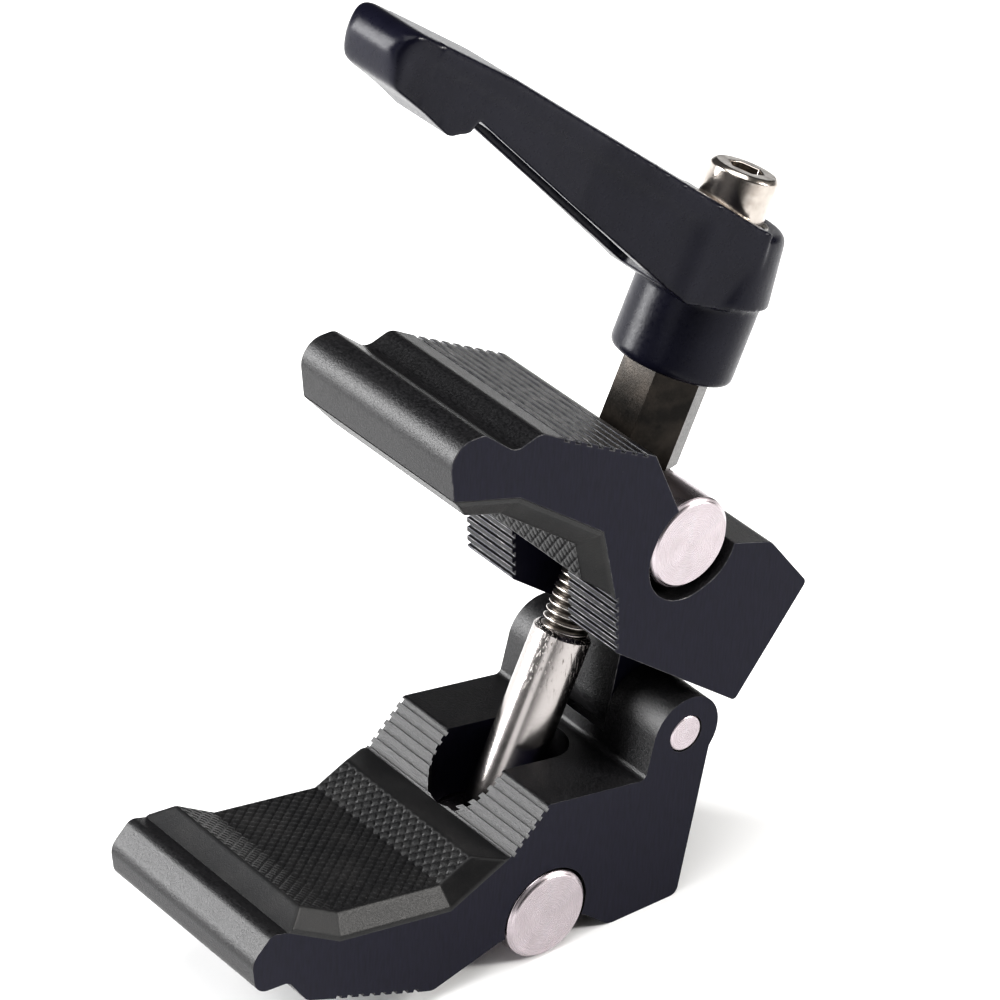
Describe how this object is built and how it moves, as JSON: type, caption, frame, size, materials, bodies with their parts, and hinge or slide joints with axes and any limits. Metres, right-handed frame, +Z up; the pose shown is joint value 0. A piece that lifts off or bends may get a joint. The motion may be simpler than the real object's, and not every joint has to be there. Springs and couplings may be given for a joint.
{
  "type": "super clamp",
  "caption": "Small super clamp: two hinged jaws with rubber pads, closed by a screw with an indexing clamping lever, and threaded holes on the back.",
  "frame": {"origin": "bottom centre of the clamp's overall box, on the surface it stands on", "axes": "+Z up as it stands on the lower barrel pin and the heel, +X from the jaw mouth towards the hinge, +Y along the hinge pin"},
  "size_m": [0.0846, 0.029, 0.1265],
  "materials": {
    "anodised_aluminium": "satin black anodised, blasted on the extruded faces",
    "rubber": "matte black with a fine moulded texture",
    "turned_steel": "turned end faces",
    "nickel_plate": "bright nickel plate",
    "threaded_steel": "bright rolled thread",
    "black_oxide_steel": "dark oxide, slightly brown",
    "coated_zinc": "satin black coating on die-cast zinc",
    "spring_steel": "drawn wire"
  },
  "bodies": {
    "lower_jaw_body": {"lower_jaw": "anodised_aluminium", "lower_jaw_pad": "rubber", "hinge_pin": "turned_steel"},
    "upper_jaw_body": {"upper_jaw": "anodised_aluminium", "upper_jaw_pad": "rubber"},
    "sleeve_body": {"lower_barrel": "turned_steel", "screw_sleeve": "nickel_plate"},
    "upper_barrel_body": {"upper_barrel": "turned_steel"},
    "screw_body": {"clamp_stud": "threaded_steel", "drive_hex": "black_oxide_steel", "lever_screw": "nickel_plate", "lever_spring": "spring_steel"},
    "lever_body": {"lever_handle": "coated_zinc"}
  },
  "joints": [
    {"name": "jaw_hinge", "type": "hinge", "parent": "lower_jaw_body", "child": "upper_jaw_body", "pos_m": [0.02263, 0, 0.02411], "axis": [0, 1, 0], "range_deg": [-42.01, 4.01]},
    {"name": "sleeve_swing", "type": "hinge", "parent": "lower_jaw_body", "child": "sleeve_body", "pos_m": [0.00194, 0, 0.006], "axis": [0, 1, 0], "range_deg": [-21.01, 2.01]},
    {"name": "barrel_slide", "type": "slide", "parent": "sleeve_body", "child": "upper_barrel_body", "axis": [0.3915, 0, 0.9202], "range_m": [-0.01186, 0.00114]},
    {"name": "screw_turn", "type": "hinge", "parent": "upper_barrel_body", "child": "screw_body", "pos_m": [0.02133, 0, 0.05158], "axis": [0.3915, 0, 0.9202], "range_deg": [-4267.2, 406.4]},
    {"name": "lever_lift", "type": "slide", "parent": "screw_body", "child": "lever_body", "axis": [0.3915, 0, 0.9202], "range_m": [0, 0.0037], "stiffness_N_per_m": 600, "springref_m": -0.002, "deforming": ["lever_spring"]}
  ],
  "couplings": [
    {"joint": "jaw_hinge", "follows": "screw_turn", "ratio": 0.0098425},
    {"joint": "sleeve_swing", "follows": "screw_turn", "ratio": 0.0049213},
    {"joint": "barrel_slide", "follows": "screw_turn", "m_per_rad": 0.00015915}
  ]
}
